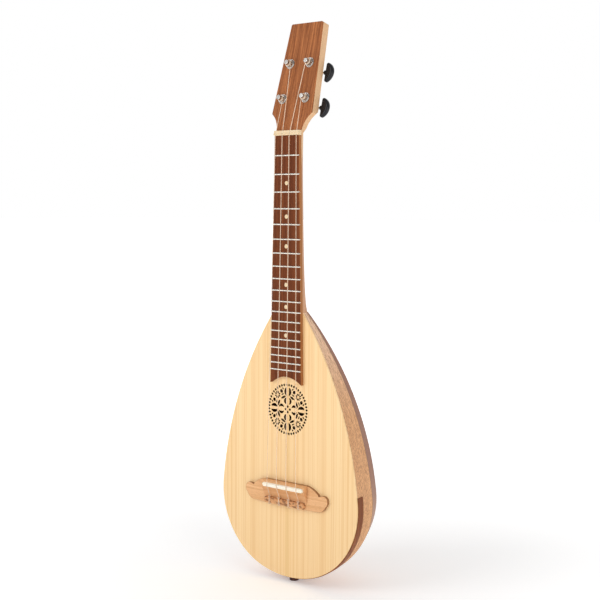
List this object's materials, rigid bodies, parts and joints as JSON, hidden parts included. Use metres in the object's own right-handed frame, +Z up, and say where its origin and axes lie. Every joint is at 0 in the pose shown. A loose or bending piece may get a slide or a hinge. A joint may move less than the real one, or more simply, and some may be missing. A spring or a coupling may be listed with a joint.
{
  "type": "lute ukulele",
  "caption": "Lute-shaped ukulele: ribbed bowl back, spruce front with a carved rose, fretted neck, bent-back headstock with geared tuners and a tie bridge.",
  "frame": {"origin": "outer tip of the end pin, on the pin's axis in the instrument's plane of symmetry", "axes": "+Z up the neck, parallel to the soundboard; -Y the way the soundboard faces, so +Y is the bowl's back; +X the right-hand side seen from the front"},
  "size_m": [0.2222, 0.123, 0.6957],
  "materials": {
    "spruce": "satin, pale yellow, fine straight grain",
    "lacewood": "satin, tan with fine dark flecks",
    "walnut": "satin, dark reddish brown",
    "mahogany": "sawn, unfinished",
    "maple": "satin, warm light brown",
    "rosewood": "satin, pinkish brown",
    "dark_wood": "polished, very dark brown",
    "bone": "polished bone",
    "nickel_silver": "polished",
    "nylon": "smooth, slightly clear",
    "chrome": "bright",
    "brass": "satin",
    "black_plastic": "gloss"
  },
  "bodies": {
    "instrument": {"soundboard_left": "spruce", "soundboard_right": "spruce", "rib_1": "lacewood", "rib_2": "walnut", "rib_3": "lacewood", "rib_4": "walnut", "rib_5": "lacewood", "rib_6": "walnut", "rib_7": "lacewood", "rib_8": "walnut", "rib_9": "lacewood", "capping_strip": "walnut", "neck_block": "mahogany", "tail_block": "mahogany", "upper_brace": "spruce", "rose_brace": "spruce", "bridge_brace": "spruce", "tail_brace": "spruce", "bridge_plate": "maple", "neck": "maple", "headstock": "maple", "headplate": "walnut", "fingerboard": "walnut", "nut": "bone", "frets": "nickel_silver", "fret_dots": "bone", "bridge": "rosewood", "saddle": "bone", "tie_block": "dark_wood", "string_1": "nylon", "string_2": "nylon", "string_3": "nylon", "string_4": "nylon", "end_pin": "dark_wood", "machine_plate_1": "chrome", "machine_plate_2": "chrome", "machine_plate_3": "chrome", "machine_plate_4": "chrome", "post_bushings": "chrome", "plate_screws": "chrome"},
    "key_1": {"worm_1": "chrome", "tuning_button_1": "black_plastic"},
    "post_1": {"string_post_1": "chrome", "worm_wheel_1": "brass", "wheel_screw_1": "chrome"},
    "key_2": {"worm_2": "chrome", "tuning_button_2": "black_plastic"},
    "post_2": {"string_post_2": "chrome", "worm_wheel_2": "brass", "wheel_screw_2": "chrome"},
    "key_3": {"worm_3": "chrome", "tuning_button_3": "black_plastic"},
    "post_3": {"string_post_3": "chrome", "worm_wheel_3": "brass", "wheel_screw_3": "chrome"},
    "key_4": {"worm_4": "chrome", "tuning_button_4": "black_plastic"},
    "post_4": {"string_post_4": "chrome", "worm_wheel_4": "brass", "wheel_screw_4": "chrome"}
  },
  "joints": [
    {"name": "turn_key_1", "type": "hinge", "parent": "instrument", "child": "key_1", "pos_m": [-0.0183, 0.00947, 0.58935], "axis": [-1, 0, 0], "continuous": true},
    {"name": "turn_post_1", "type": "hinge", "parent": "instrument", "child": "post_1", "pos_m": [-0.0183, 0.00662, 0.59834], "axis": [0, 0.9686, -0.2487], "continuous": true},
    {"name": "turn_key_2", "type": "hinge", "parent": "instrument", "child": "key_2", "pos_m": [-0.0155, 0.02064, 0.63284], "axis": [-1, 0, 0], "continuous": true},
    {"name": "turn_post_2", "type": "hinge", "parent": "instrument", "child": "post_2", "pos_m": [-0.0155, 0.01779, 0.64183], "axis": [0, 0.9686, -0.2487], "continuous": true},
    {"name": "turn_key_3", "type": "hinge", "parent": "instrument", "child": "key_3", "pos_m": [0.0155, 0.02064, 0.63284], "axis": [1, 0, 0], "continuous": true},
    {"name": "turn_post_3", "type": "hinge", "parent": "instrument", "child": "post_3", "pos_m": [0.0155, 0.01779, 0.64183], "axis": [0, 0.9686, -0.2487], "continuous": true},
    {"name": "turn_key_4", "type": "hinge", "parent": "instrument", "child": "key_4", "pos_m": [0.0183, 0.00947, 0.58935], "axis": [1, 0, 0], "continuous": true},
    {"name": "turn_post_4", "type": "hinge", "parent": "instrument", "child": "post_4", "pos_m": [0.0183, 0.00662, 0.59834], "axis": [0, 0.9686, -0.2487], "continuous": true}
  ],
  "couplings": [
    {"joint": "turn_post_1", "follows": "turn_key_1", "ratio": 0.071429},
    {"joint": "turn_post_2", "follows": "turn_key_2", "ratio": 0.071429},
    {"joint": "turn_post_3", "follows": "turn_key_3", "ratio": 0.071429},
    {"joint": "turn_post_4", "follows": "turn_key_4", "ratio": 0.071429}
  ]
}
